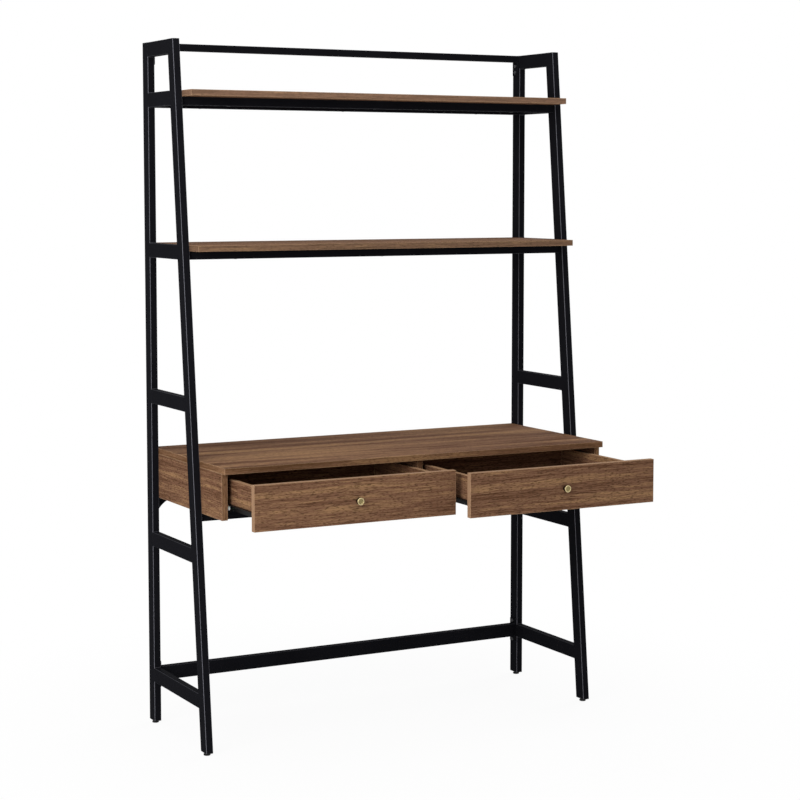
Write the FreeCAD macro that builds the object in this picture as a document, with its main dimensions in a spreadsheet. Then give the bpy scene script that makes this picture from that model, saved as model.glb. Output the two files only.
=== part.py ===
import FreeCAD, Part
import math
import os
import re

import Sketcher

# Ladder desk: two leaning ladder frames of steel tube carry two shelves and a
# drawer box. X runs to the right, the front faces -Y, and Z is up from the floor.
# Depths are measured from the rear face of the frames towards the front.
# All sizes are in millimetres.

SIZES = {
    # Ladder frames
    "overall_width": 1168,
    "overall_height": 1829,
    "base_depth": 398,
    "top_depth": 213,
    "tube_width": 19,
    "tube_depth": 38,
    "tube_wall": 1.5,
    "tube_corner": 1.5,
    "middle_rung_rise": 160,
    "desk_rung_drop": 92,
    "bottom_rung_height": 154,
    # Levelling glides, the plugs that hold them and the caps in the post tops
    "post_lift": 9,
    "glide_diameter": 18,
    "glide_thickness": 6.5,
    "stud_diameter": 6,
    "stud_length": 20,
    "plug_lip": 1.5,
    "plug_length": 20,
    "cap_length": 12,
    # Rails across the frames
    "rail_depth": 19,
    "top_rail_height": 19,
    "end_plate_thickness": 2.5,
    "end_plate_depth": 32,
    "end_plate_clip": 3,
    "top_plate_height": 58,
    "bottom_plate_height": 72,
    "gusset_thickness": 3,
    "gusset_height": 36,
    "gusset_length": 60,
    "gusset_tab_depth": 30,
    "gusset_tip": 4,
    "gusset_curve": 70,
    # Boards
    "board_thickness": 16,
    "board_ease": 0.6,
    "board_clearance": 0.5,
    "upper_shelf_drop": 132,
    "upper_shelf_depth": 287,
    "lower_shelf_drop": 395,
    "lower_shelf_depth": 326,
    "desk_height": 752,
    "desk_depth": 483,
    "box_height": 118,
    "panel_depth": 465,
    "back_thickness": 12,
    # Drawers
    "front_thickness": 16,
    "front_seat": 1.5,
    "front_top_gap": 3.5,
    "front_side_gap": 2,
    "front_middle_gap": 3,
    "drawer_length": 385,
    "drawer_side_thickness": 12,
    "drawer_side_height": 75,
    "drawer_rise": 26,
    "drawer_bottom_thickness": 4,
    "groove_depth": 5,
    "groove_rise": 9,
    "groove_clearance": 0.2,
    "left_opening": 175,
    "right_opening": 243,
    # Roller runners
    "runner_space": 12.7,
    "runner_gauge": 1.2,
    "runner_shortfall": 35,
    "runner_setback": 2,
    "channel_lower_flange": 10.5,
    "channel_upper_flange": 5,
    "drawer_flange": 10,
    "drawer_wrap": 9,
    "roller_diameter": 15,
    "roller_width": 7,
    "roller_inset": 10,
    "roller_rise": 4,
    "roller_end_gap": 0.4,
    "roller_clearance": 0.3,
    "flange_clearance": 0.8,
    "axle_diameter": 4,
    "axle_clearance": 0.05,
    # Knobs
    "knob_diameter": 19,
    "knob_projection": 18,
    "knob_head_thickness": 9,
    "knob_stem_diameter": 10,
    "knob_screw_diameter": 4,
    "knob_screw_head": 9,
    "knob_screw_head_height": 2.4,
    "knob_thread_depth": 9,
    "knob_screw_gap": 1,
    "screw_clearance": 0.1,
    # One allowance by which every cut runs past the piece that it cuts
    "overrun": 5,
}

PLACES = {
    "half_width": "overall_width / 2",
    "inner_half": "half_width - tube_width",
    "frame_centre": "half_width - tube_width / 2",
    "lean": "(base_depth - top_depth) / overall_height",
    "post_length": "overall_height - post_lift",
    "upper_shelf_height": "overall_height - upper_shelf_drop",
    "lower_shelf_height": "upper_shelf_height - lower_shelf_drop",
    "rail_height": "tube_depth - board_thickness",
    "desk_underside": "desk_height - board_thickness",
    "box_floor": "desk_underside - box_height",
    "middle_rung_height": "desk_height + middle_rung_rise",
    "desk_rung_height": "box_floor - desk_rung_drop",
    "closed_face": "panel_depth + front_seat + front_thickness",
    "back": "(closed_face + right_opening + knob_projection) / 2",
    "board_length": "2 * (inner_half - board_clearance)",
    "panel_inner": "inner_half - board_thickness",
    "bay_half": "(panel_inner - board_thickness / 2) / 2",
    "bay_centre": "(panel_inner + board_thickness / 2) / 2",
    "front_width": "inner_half - front_side_gap - front_middle_gap / 2",
    "front_centre": "(inner_half - front_side_gap + front_middle_gap / 2) / 2",
    "front_height": "box_height - front_top_gap",
    "drawer_floor": "box_floor + drawer_rise",
    "drawer_half": "bay_half - runner_space",
    "drawer_inner_half": "drawer_half - drawer_side_thickness",
    "groove_width": "drawer_bottom_thickness + 2 * groove_clearance",
    "groove_top": "groove_rise + groove_width",
    "groove_floor": "groove_depth - groove_clearance",
    "runner_length": "drawer_length - runner_shortfall",
    "roller_radius": "roller_diameter / 2",
    "roller_height": "drawer_floor + roller_rise",
    "roller_track": "roller_radius + roller_clearance",
    "bore_radius": "axle_diameter / 2 + axle_clearance",
    "axle_reach": "2 * roller_end_gap + roller_width",
    "channel_floor": "-roller_track - runner_gauge",
    "channel_lid": "roller_track + runner_gauge + flange_clearance",
    "channel_front": "panel_depth - runner_setback",
    "knob_height": "box_floor + front_height / 2",
    "screw_hole_radius": "knob_screw_diameter / 2 + screw_clearance",
}

# The two hands of the desk, and the sign of X on each
SIDES = (("left", "-"), ("right", ""))

doc = FreeCAD.newDocument("ladder_desk")
sizes = doc.addObject("Spreadsheet::Sheet", "Sizes")
places = doc.addObject("Spreadsheet::Sheet", "Places")
outlines = doc.addObject("Spreadsheet::Sheet", "Outlines")
nodes = []
cuts = []
worked = {}


def linked(formula, local=False):
    """Puts its sheet's name before each size and place that a formula mentions."""
    def owner(match):
        word = match.group()
        if word in SIZES:
            return f"Sizes.{word}"
        if word in PLACES and not local:
            return f"Places.{word}"
        return word
    return re.sub(r"[a-z]\w*", owner, formula)


def fill(sheet, rows):
    """Writes one alias to a row, with its number or formula beside it."""
    for row, (alias, text) in enumerate(rows.items(), start=1):
        sheet.set(f"A{row}", alias)
        sheet.set(f"B{row}", text)
        sheet.setAlias(f"B{row}", alias)
    doc.recompute()


def work_out(formula):
    """Gives the cell that holds a coordinate's formula, and the coordinate's value."""
    if formula not in worked:
        cell = f"A{len(worked) + 1}"
        outlines.set(cell, "=" + linked(formula))
        outlines.recompute()
        worked[formula] = (f"Outlines.{cell}", float(outlines.get(cell)))
    return worked[formula]


def place(thing, x, y, z):
    """Binds where a sub-part stands. y is its depth from the rear face."""
    thing.setExpression("Placement.Base.x", linked(x))
    thing.setExpression("Placement.Base.y", linked(f"back - ({y})"))
    thing.setExpression("Placement.Base.z", linked(z))


def new_body(label):
    body = doc.addObject("PartDesign::Body", label)
    body.Label = label
    return body


def new_sketch(body, plane, lift=None):
    """A sketch on one of the body's own origin planes, lifted along its normal."""
    sketch = body.newObject("Sketcher::SketchObject", f"{body.Name}_sketch")
    support = next(f for f in body.Origin.OriginFeatures if f.Role == plane)
    sketch.AttachmentSupport = [(support, "")]
    sketch.MapMode = "FlatFace"
    if lift:
        sketch.setExpression("AttachmentOffset.Base.z", linked(lift))
    return sketch


def bind(sketch, ties):
    """Adds a sketch's constraints together. A tie is a constraint and the cell that drives it."""
    first = sketch.ConstraintCount
    sketch.addConstraint([constraint for constraint, cell in ties])
    for index, (constraint, cell) in enumerate(ties, start=first):
        if cell:
            sketch.setExpression(f"Constraints[{index}]", cell)


def pins(edge, end, x, y):
    """Ties one end of an edge to the coordinates that its formulas give."""
    ties = []
    for kind, axis, formula in (("DistanceX", -2, x), ("DistanceY", -1, y)):
        if formula == "0":
            ties.append((Sketcher.Constraint("PointOnObject", edge, end, axis), None))
            continue
        cell, value = work_out(formula)
        ties.append((Sketcher.Constraint(kind, -1, 1, edge, end, value), cell))
    return ties


def arc_between(start, end, radius, turn):
    """The short arc from start to end; turn is 1 for anticlockwise and -1 for clockwise."""
    middle = (start + end) / 2
    half_chord = (end - start).Length / 2
    across = FreeCAD.Vector(start.y - end.y, end.x - start.x, 0).normalize()
    centre = middle + across * turn * math.sqrt(max(radius ** 2 - half_chord ** 2, 0))
    first, last = (start, end) if turn > 0 else (end, start)
    angles = [math.atan2(p.y - centre.y, p.x - centre.x) for p in (first, last)]
    circle = Part.Circle(centre, FreeCAD.Vector(0, 0, 1), radius)
    return Part.ArcOfCircle(circle, angles[0], angles[1])


def draw(sketch, corners):
    """Draws a closed outline. A corner is (x, y), or (x, y, radius, turn) where an arc leaves it."""
    base = sketch.GeometryCount
    spots = [FreeCAD.Vector(work_out(c[0])[1], work_out(c[1])[1], 0) for c in corners]
    edges, ends, ties = [], [], []
    for index, corner in enumerate(corners):
        start, end = spots[index], spots[(index + 1) % len(spots)]
        if len(corner) == 2:
            edges.append(Part.LineSegment(start, end))
            ends.append((1, 2))
            continue
        cell, radius = work_out(corner[2])
        edges.append(arc_between(start, end, radius, corner[3]))
        ends.append((1, 2) if corner[3] > 0 else (2, 1))
        ties.append((Sketcher.Constraint("Radius", base + index, radius), cell))
    for index, corner in enumerate(corners):
        after = (index + 1) % len(corners)
        joint = (base + index, ends[index][1], base + after, ends[after][0])
        ties.append((Sketcher.Constraint("Coincident", *joint), None))
        ties += pins(base + index, ends[index][0], corner[0], corner[1])
    sketch.addGeometry(edges)
    bind(sketch, ties)


def draw_circle(sketch, x, y, radius):
    cell, value = work_out(radius)
    centre = FreeCAD.Vector(work_out(x)[1], work_out(y)[1], 0)
    edge = sketch.addGeometry(Part.Circle(centre, FreeCAD.Vector(0, 0, 1), value))
    bind(sketch, [(Sketcher.Constraint("Radius", edge, value), cell)] + pins(edge, 3, x, y))


def rectangle(width, height):
    """Corners of a rectangle that is centred on the sketch's origin."""
    x, y = f"({width}) / 2", f"({height}) / 2"
    return [(f"-{x}", f"-{y}"), (x, f"-{y}"), (x, y), (f"-{x}", y)]


def clipped_rectangle(width, height, clip):
    """The same with its corners cut off at 45 degrees."""
    x, y = f"({width}) / 2", f"({height}) / 2"
    nx, ny = f"({x} - {clip})", f"({y} - {clip})"
    return [
        (f"-{nx}", f"-{y}"), (nx, f"-{y}"), (x, f"-{ny}"), (x, ny),
        (nx, y), (f"-{nx}", y), (f"-{x}", ny), (f"-{x}", f"-{ny}"),
    ]


def rounded_rectangle(width, height, radius):
    """The same with rounded corners: each corner becomes the two ends of an arc."""
    x, y = f"({width}) / 2", f"({height}) / 2"
    nx, ny = f"{x} - {radius}", f"{y} - {radius}"
    return [
        (f"-({nx})", f"-{y}"), (nx, f"-{y}", radius, 1),
        (x, f"-({ny})"), (x, ny, radius, 1),
        (nx, y), (f"-({nx})", y, radius, 1),
        (f"-{x}", ny), (f"-{x}", f"-({ny})", radius, 1),
    ]


def hexagon(flats):
    """Corners of a hexagon about the sketch's origin, from its size across the flats."""
    x, y = f"({flats}) / 2", f"({flats}) / sqrt(12)"
    return [(x, f"-{y}"), (x, y), ("0", f"2 * {y}"), (f"-{x}", y), (f"-{x}", f"-{y}"), ("0", f"-2 * {y}")]


def pad(body, sketch, length, reverse=False, middle=False):
    feature = body.newObject("PartDesign::Pad", f"{body.Name}_pad")
    feature.Profile = sketch
    feature.setExpression("Length", linked(length))
    feature.Reversed = reverse
    feature.SideType = "Symmetric" if middle else "One side"
    return feature


def cut(body, sketch, length=None):
    """Cuts an outline out of a body to both sides of its sketch, right through if no length is given."""
    feature = body.newObject("PartDesign::Pocket", f"{body.Name}_cut")
    feature.Profile = sketch
    feature.SideType = "Symmetric"
    if length:
        feature.setExpression("Length", linked(length))
    else:
        feature.Type = "ThroughAll"
    cuts.append(feature)


def ease_edges(body, slab):
    """Takes the sharpness off every edge of a board."""
    feature = body.newObject("PartDesign::Chamfer", f"{body.Name}_ease")
    feature.Base = (slab, [])
    feature.UseAllEdges = True
    feature.setExpression("Size", linked("board_ease"))


def revolve(body, sketch, axis):
    feature = body.newObject("PartDesign::Revolution", f"{body.Name}_turned")
    feature.Profile = sketch
    feature.ReferenceAxis = (sketch, [axis])
    return feature


def mirror(source, label, plane_x):
    """The opposite hand of a sub-part, mirrored in an upright plane across X."""
    thing = doc.addObject("Part::Mirroring", label)
    thing.Label = label
    thing.Source = source
    thing.Normal = FreeCAD.Vector(1, 0, 0)
    thing.setExpression("Base.x", linked(plane_x))
    return thing


def group(label, members):
    """Like pieces that share one node, each still a solid of its own."""
    thing = doc.addObject("Part::Compound", label)
    thing.Label = label
    thing.Links = members
    return thing


def tube_section(sketch, width, height):
    """The wall of a rectangular steel tube, rounded outside."""
    draw(sketch, rounded_rectangle(width, height, "tube_corner"))
    draw(sketch, rectangle(f"{width} - 2 * tube_wall", f"{height} - 2 * tube_wall"))


def front_post_depth(height):
    """How far the middle of a leaning front post stands from the rear face."""
    return f"base_depth - tube_depth / 2 - lean * ({height})"


def lean_back(feature):
    """Makes a pad climb along the front posts, with both ends level."""
    feature.UseCustomVector = True
    feature.Direction = FreeCAD.Vector(0, 0, 1)
    feature.AlongSketchNormal = True
    feature.setExpression("Direction.y", linked("lean"))


def make_posts():
    """The upright rear posts and the leaning front posts of both frames."""
    for side, sign in SIDES:
        for end, depth in (("rear", "tube_depth / 2"), ("front", front_post_depth("post_lift"))):
            body = new_body(f"{side}_{end}_post")
            section = new_sketch(body, "XY_Plane")
            tube_section(section, "tube_width", "tube_depth")
            climb = pad(body, section, "post_length")
            if end == "front":
                lean_back(climb)
            place(body, f"{sign}frame_centre", depth, "post_lift")
            nodes.append(body)


RUNGS = {
    "top": "overall_height",
    "upper_shelf": "upper_shelf_height",
    "lower_shelf": "lower_shelf_height",
    "middle": "middle_rung_height",
    "desk": "desk_rung_height",
    "bottom": "bottom_rung_height",
}


def make_rungs():
    """Six rungs to a frame, square at the rear post and mitred to the leaning post."""
    for side, sign in SIDES:
        for name, top in RUNGS.items():
            body = new_body(f"{side}_{name}_rung")
            section = new_sketch(body, "XZ_Plane")
            tube_section(section, "tube_width", "tube_depth")
            middle = f"({top} - tube_depth / 2)"
            reach = f"(base_depth - 2 * tube_depth - lean * {middle})"
            half = "(tube_depth / 2 + overrun)"
            far = f"-({reach} + lean * {half} + overrun)"
            pad(body, section, f"{reach} + lean * tube_depth / 2")
            mitre = new_sketch(body, "YZ_Plane")
            draw(mitre, [
                (f"-({reach} + lean * {half})", f"-{half}"),
                (f"-({reach} - lean * {half})", half),
                (far, half),
                (far, f"-{half}"),
            ])
            cut(body, mitre)
            place(body, f"{sign}frame_centre", "tube_depth", middle)
            nodes.append(body)


def make_rail(label, height, top, depth, length):
    """A straight tube that lies across the frames."""
    body = new_body(label)
    section = new_sketch(body, "YZ_Plane")
    tube_section(section, "rail_depth", height)
    pad(body, section, length, middle=True)
    place(body, "0", depth, f"{top} - ({height}) / 2")
    nodes.append(body)


def make_rails():
    between_posts = "2 * inner_half"
    between_plates = "2 * (inner_half - end_plate_thickness)"
    rear = "tube_depth / 2"
    make_rail("top_rear_rail", "top_rail_height", "overall_height", rear, between_plates)
    make_rail("bottom_rear_rail", "tube_depth", "bottom_rung_height", rear, between_plates)
    for name in ("upper", "lower"):
        top = f"({name}_shelf_height - board_thickness)"
        front = front_post_depth(f"{top} - rail_height / 2")
        make_rail(f"{name}_shelf_front_rail", "rail_height", top, front, between_posts)
        make_rail(f"{name}_shelf_rear_rail", "rail_height", top, rear, between_posts)
    front = front_post_depth("box_floor - rail_height / 2")
    make_rail("desk_front_rail", "rail_height", "box_floor", front, between_posts)


def make_end_plates():
    """Flat plates on the rear posts' inner faces, which the two rear rails end on."""
    plates = []
    rows = (
        ("top", "top_plate_height", "overall_height - top_plate_height / 2"),
        ("bottom", "bottom_plate_height", "bottom_rung_height - tube_depth / 2"),
    )
    for name, height, middle in rows:
        body = new_body(f"{name}_left_end_plate")
        outline = new_sketch(body, "YZ_Plane")
        draw(outline, clipped_rectangle("end_plate_depth", height, "end_plate_clip"))
        pad(body, outline, "end_plate_thickness")
        place(body, "-inner_half", "tube_depth / 2", middle)
        plates += [body, mirror(body, f"{name}_right_end_plate", "0")]
    nodes.append(group("rail_end_plates", plates))


def make_gussets():
    """Curved brackets on the rear posts: a hollowed web under a level tab for the box."""
    body = new_body("left_gusset")
    web = new_sketch(body, "XZ_Plane")
    draw(web, [
        ("0", "0"),
        ("0", "-gusset_height"),
        ("gusset_tip", "-gusset_height", "gusset_curve", -1),
        ("gusset_length", "-gusset_thickness"),
        ("gusset_length", "0"),
    ])
    pad(body, web, "gusset_thickness", middle=True)
    tab = new_sketch(body, "YZ_Plane")
    half = "gusset_tab_depth / 2"
    draw(tab, [
        (f"-{half}", "-gusset_thickness"),
        (half, "-gusset_thickness"),
        (half, "0"),
        (f"-{half}", "0"),
    ])
    pad(body, tab, "gusset_length")
    place(body, "-inner_half", "tube_depth / 2", "box_floor")
    nodes.append(group("box_gussets", [body, mirror(body, "right_gusset", "0")]))


def make_glides():
    """Plugs in the post ends, and the levelling glides whose studs stand in their six-sided sockets."""
    plugs = []
    for side, sign in SIDES:
        for end, depth in (("rear", "tube_depth / 2"), ("front", front_post_depth("post_lift"))):
            plug = new_body(f"{side}_{end}_plug")
            core = new_sketch(plug, "XY_Plane")
            draw(core, rectangle("tube_width - 2 * tube_wall", "tube_depth - 2 * tube_wall"))
            rise = pad(plug, core, "plug_length")
            if end == "front":
                lean_back(rise)
            lip = new_sketch(plug, "XY_Plane")
            draw(lip, clipped_rectangle("tube_width", "tube_depth", "tube_corner"))
            pad(plug, lip, "plug_lip", reverse=True)
            socket = new_sketch(plug, "XY_Plane")
            draw(socket, hexagon("stud_diameter + 2 * screw_clearance"))
            cut(plug, socket)
            place(plug, f"{sign}frame_centre", depth, "post_lift")
            plugs.append(plug)

            glide = new_body(f"{side}_{end}_glide")
            profile = new_sketch(glide, "XZ_Plane")
            top = "(glide_thickness + stud_length)"
            draw(profile, [
                ("0", "0"),
                ("glide_diameter / 2", "0"),
                ("glide_diameter / 2", "glide_thickness"),
                ("stud_diameter / 2", "glide_thickness"),
                ("stud_diameter / 2", top),
                ("0", top),
            ])
            revolve(glide, profile, "V_Axis")
            place(glide, f"{sign}frame_centre", depth, "0")
            nodes.append(glide)
    nodes.append(group("post_plugs", plugs))


def make_caps():
    """Caps pressed into the posts' open top ends, level with the top rungs."""
    caps = []
    underside = "(overall_height - cap_length)"
    for side, sign in SIDES:
        for end, depth in (("rear", "tube_depth / 2"), ("front", front_post_depth(underside))):
            cap = new_body(f"{side}_{end}_cap")
            core = new_sketch(cap, "XY_Plane")
            draw(core, rectangle("tube_width - 2 * tube_wall", "tube_depth - 2 * tube_wall"))
            rise = pad(cap, core, "cap_length")
            if end == "front":
                lean_back(rise)
            place(cap, f"{sign}frame_centre", depth, underside)
            caps.append(cap)
    nodes.append(group("post_caps", caps))


def make_board(label, width, depth, thickness, x, y, z):
    """A flat board with eased edges. x is its middle, y its front edge's depth, z its underside."""
    body = new_body(label)
    outline = new_sketch(body, "XY_Plane")
    half = f"({width}) / 2"
    draw(outline, [(f"-{half}", "0"), (half, "0"), (half, depth), (f"-{half}", depth)])
    ease_edges(body, pad(body, outline, thickness))
    place(body, x, y, z)
    nodes.append(body)


def make_boards():
    """Shelves and desktop between the frames, and the walls of the drawer box."""
    for name in ("upper", "lower"):
        make_board(
            f"{name}_shelf", "board_length", f"{name}_shelf_depth", "board_thickness",
            "0", f"{name}_shelf_depth", f"{name}_shelf_height - board_thickness",
        )
    make_board(
        "desktop", "board_length", "desk_depth", "board_thickness",
        "0", "desk_depth", "desk_underside",
    )
    for side, sign in SIDES:
        make_board(
            f"{side}_side_panel", "board_thickness", "panel_depth", "box_height",
            f"{sign}(inner_half - board_thickness / 2)", "panel_depth", "box_floor",
        )
    make_board(
        "box_back", "2 * panel_inner", "back_thickness", "box_height",
        "0", "back_thickness", "box_floor",
    )
    make_board(
        "centre_divider", "board_thickness", "panel_depth - back_thickness", "box_height",
        "0", "panel_depth", "box_floor",
    )


def make_drawer_front(side, sign, seat):
    """A drawer front with a stopped groove for the bottom and a hole for the knob's screw."""
    body = new_body(f"{side}_drawer_front")
    face = new_sketch(body, "XZ_Plane")
    shift = f"{sign}(front_centre - bay_centre)"
    low, high = f"{shift} - front_width / 2", f"{shift} + front_width / 2"
    draw(face, [(low, "0"), (high, "0"), (high, "front_height"), (low, "front_height")])
    ease_edges(body, pad(body, face, "front_thickness"))
    hole = new_sketch(body, "XZ_Plane")
    draw_circle(hole, shift, "front_height / 2", "screw_hole_radius")
    cut(body, hole)
    groove = new_sketch(body, "YZ_Plane")
    draw(groove, [
        ("-groove_depth", "drawer_rise + groove_rise"),
        ("overrun", "drawer_rise + groove_rise"),
        ("overrun", "drawer_rise + groove_top"),
        ("-groove_depth", "drawer_rise + groove_top"),
    ])
    cut(body, groove, "2 * (drawer_inner_half + groove_depth)")
    place(body, f"{sign}bay_centre", seat, "box_floor")
    nodes.append(body)


def make_drawer_box(side, sign, seat):
    """Two grooved sides, a grooved back between them and a thin bottom in the grooves."""
    wall = new_body(f"{side}_drawer_left_side")
    section = new_sketch(wall, "XZ_Plane")
    inner, deep = "-drawer_inner_half", "-(drawer_inner_half + groove_depth)"
    draw(section, [
        ("-drawer_half", "0"),
        (inner, "0"),
        (inner, "groove_rise"),
        (deep, "groove_rise"),
        (deep, "groove_top"),
        (inner, "groove_top"),
        (inner, "drawer_side_height - board_ease"),
        ("-(drawer_inner_half + board_ease)", "drawer_side_height"),
        ("-(drawer_half - board_ease)", "drawer_side_height"),
        ("-drawer_half", "drawer_side_height - board_ease"),
    ])
    pad(wall, section, "drawer_length", reverse=True)
    place(wall, f"{sign}bay_centre", seat, "drawer_floor")
    nodes.append(wall)
    nodes.append(mirror(wall, f"{side}_drawer_right_side", f"{sign}bay_centre"))

    back = new_body(f"{side}_drawer_back")
    section = new_sketch(back, "YZ_Plane")
    near = "drawer_length - drawer_side_thickness"
    draw(section, [
        (near, "0"),
        ("drawer_length", "0"),
        ("drawer_length", "drawer_side_height"),
        (near, "drawer_side_height"),
        (near, "groove_top"),
        (f"{near} + groove_depth", "groove_top"),
        (f"{near} + groove_depth", "groove_rise"),
        (near, "groove_rise"),
    ])
    pad(back, section, "2 * drawer_inner_half", middle=True)
    place(back, f"{sign}bay_centre", seat, "drawer_floor")
    nodes.append(back)

    bottom = new_body(f"{side}_drawer_bottom")
    sheet = new_sketch(bottom, "XY_Plane")
    half = "(drawer_inner_half + groove_floor)"
    far = f"{near} + groove_floor"
    draw(sheet, [
        (f"-{half}", "-groove_floor"),
        (half, "-groove_floor"),
        (half, far),
        (f"-{half}", far),
    ])
    pad(bottom, sheet, "drawer_bottom_thickness")
    place(bottom, f"{sign}bay_centre", seat, "drawer_floor + groove_rise + groove_clearance")
    nodes.append(bottom)


def make_knob(side, sign, seat):
    """A turned brass knob with a thick round head on a short stem, and its screw from inside."""
    knob = new_body(f"{side}_drawer_knob")
    profile = new_sketch(knob, "XY_Plane")
    draw(profile, [
        ("0", "-knob_thread_depth"),
        ("screw_hole_radius", "-knob_thread_depth"),
        ("screw_hole_radius", "0"),
        ("knob_stem_diameter / 2", "0"),
        ("knob_stem_diameter / 2", "-(knob_projection - knob_head_thickness)"),
        ("knob_diameter / 2", "-(knob_projection - knob_head_thickness)"),
        ("knob_diameter / 2", "-knob_projection"),
        ("0", "-knob_projection"),
    ])
    revolve(knob, profile, "V_Axis")
    place(knob, f"{sign}front_centre", f"{seat} + front_thickness", "knob_height")
    nodes.append(knob)

    screw = new_body(f"{side}_knob_screw")
    profile = new_sketch(screw, "XY_Plane")
    tip = "-(front_thickness + knob_thread_depth - knob_screw_gap)"
    head = "knob_screw_head / 2"
    draw(profile, [
        ("0", tip),
        ("knob_screw_diameter / 2", tip),
        ("knob_screw_diameter / 2", "0"),
        (head, "0"),
        (head, "knob_screw_head_height"),
        ("0", "knob_screw_head_height"),
    ])
    revolve(screw, profile, "V_Axis")
    place(screw, f"{sign}front_centre", seat, "knob_height")
    nodes.append(screw)


def add_axle(body, depth, wall, inward):
    """A riveted stub axle on a runner's wall. inward is True where it points along +X."""
    sketch = new_sketch(body, "YZ_Plane", wall)
    draw_circle(sketch, depth, "0", "axle_diameter / 2")
    pad(body, sketch, "axle_reach", reverse=not inward)


def make_rollers(label, sign, x, depth):
    """A pair of moulded rollers, one at each side of the bay, that turn on one line."""
    body = new_body(f"{label}_left")
    profile = new_sketch(body, "XY_Plane")
    half = "roller_width / 2"
    draw(profile, [
        (f"-{half}", "bore_radius"),
        (half, "bore_radius"),
        (half, "roller_radius"),
        (f"-{half}", "roller_radius"),
    ])
    revolve(body, profile, "H_Axis")
    place(body, f"{sign}bay_centre - {x}", depth, "roller_height")
    nodes.append(group(label, [body, mirror(body, f"{label}_right", f"{sign}bay_centre")]))


def make_runners(side, sign, seat):
    """Roller runners: a channel on the box and an angled member under each drawer side."""
    channel = new_body(f"{side}_bay_left_channel")
    section = new_sketch(channel, "XZ_Plane")
    web = "-(bay_half - runner_gauge)"
    low_edge, high_edge = "-(bay_half - channel_lower_flange)", "-(bay_half - channel_upper_flange)"
    draw(section, [
        ("-bay_half", "channel_floor"),
        (low_edge, "channel_floor"),
        (low_edge, "-roller_track"),
        (web, "-roller_track"),
        (web, "channel_lid"),
        (high_edge, "channel_lid"),
        (high_edge, "channel_lid + runner_gauge"),
        ("-bay_half", "channel_lid + runner_gauge"),
    ])
    pad(channel, section, "runner_length", reverse=True)
    add_axle(channel, "roller_inset", web, True)
    place(channel, f"{sign}bay_centre", "channel_front", "roller_height")
    channels = [channel, mirror(channel, f"{side}_bay_right_channel", f"{sign}bay_centre")]
    middle = "(runner_gauge + roller_end_gap + roller_width / 2)"
    make_rollers(f"{side}_front_rollers", sign, f"(bay_half - {middle})", "channel_front - roller_inset")

    member = new_body(f"{side}_drawer_left_member")
    section = new_sketch(member, "XZ_Plane")
    outer, wrap = "-(drawer_half + runner_gauge)", "-(drawer_half - drawer_wrap)"
    flange = "-(drawer_half + drawer_flange)"
    draw(section, [
        (outer, "-(roller_rise + runner_gauge)"),
        (wrap, "-(roller_rise + runner_gauge)"),
        (wrap, "-roller_rise"),
        ("-drawer_half", "-roller_rise"),
        ("-drawer_half", "roller_track + runner_gauge"),
        (flange, "roller_track + runner_gauge"),
        (flange, "roller_track"),
        (outer, "roller_track"),
    ])
    pad(member, section, "runner_length", reverse=True)
    add_axle(member, "runner_length - roller_inset", outer, False)
    start = f"({seat} - runner_setback)"
    place(member, f"{sign}bay_centre", start, "roller_height")
    other = mirror(member, f"{side}_drawer_right_member", f"{sign}bay_centre")
    nodes.append(group(f"{side}_drawer_runners", [member, other]))
    make_rollers(
        f"{side}_rear_rollers", sign, f"(drawer_half + {middle})",
        f"{start} - runner_length + roller_inset",
    )
    return channels


def make_drawers():
    channels = []
    for side, sign in SIDES:
        seat = f"(panel_depth + front_seat + {side}_opening)"
        make_drawer_front(side, sign, seat)
        make_drawer_box(side, sign, seat)
        make_knob(side, sign, seat)
        channels += make_runners(side, sign, seat)
    nodes.append(group("box_runner_channels", channels))


def check_document():
    """Stops before anything is written if a feature failed or a sub-part has no sound solid."""
    for thing in doc.Objects:
        if "Invalid" in thing.State or "Error" in thing.State:
            raise ValueError(f"{thing.Label} failed: {thing.State}")
    for feature in cuts:
        if feature.Shape.Volume >= feature.BaseFeature.Shape.Volume:
            raise ValueError(f"{feature.Label} removed nothing")
    for node in nodes:
        if node.Shape.isNull() or not node.Shape.isValid() or not node.Shape.Solids:
            raise ValueError(f"{node.Label} has no valid solid")


def write_parts():
    os.makedirs("parts", exist_ok=True)
    for node in nodes:
        node.Shape.exportStep(f"parts/{node.Label}.step")


fill(sizes, {alias: str(value) for alias, value in SIZES.items()})
fill(places, {alias: "=" + linked(formula, local=True) for alias, formula in PLACES.items()})
make_posts()
make_rungs()
make_rails()
make_end_plates()
make_gussets()
make_glides()
make_caps()
make_boards()
make_drawers()
doc.recompute()
check_document()
write_parts()
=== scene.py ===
import math

import bmesh
import bpy
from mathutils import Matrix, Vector


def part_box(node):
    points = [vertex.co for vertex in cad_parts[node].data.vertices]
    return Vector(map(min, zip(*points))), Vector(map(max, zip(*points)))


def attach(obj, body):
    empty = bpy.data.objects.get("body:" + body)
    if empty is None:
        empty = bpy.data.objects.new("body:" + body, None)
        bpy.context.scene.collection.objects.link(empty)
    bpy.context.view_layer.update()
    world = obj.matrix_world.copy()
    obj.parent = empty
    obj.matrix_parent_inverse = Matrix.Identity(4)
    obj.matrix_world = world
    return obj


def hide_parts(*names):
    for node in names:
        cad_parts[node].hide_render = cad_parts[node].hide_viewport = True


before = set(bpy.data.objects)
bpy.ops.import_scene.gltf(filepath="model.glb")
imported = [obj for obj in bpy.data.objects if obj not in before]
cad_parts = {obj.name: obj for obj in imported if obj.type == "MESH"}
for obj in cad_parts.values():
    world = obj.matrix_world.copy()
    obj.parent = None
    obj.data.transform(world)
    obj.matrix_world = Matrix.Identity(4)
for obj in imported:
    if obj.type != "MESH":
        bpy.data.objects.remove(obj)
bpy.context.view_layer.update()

# Side frames
# Two ladders of rectangular steel tube. Each has an upright rear post, a leaning front post and six
# rungs butted between the two. They are welded, ground flush and sprayed with satin black powder.
MM = 0.001
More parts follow.
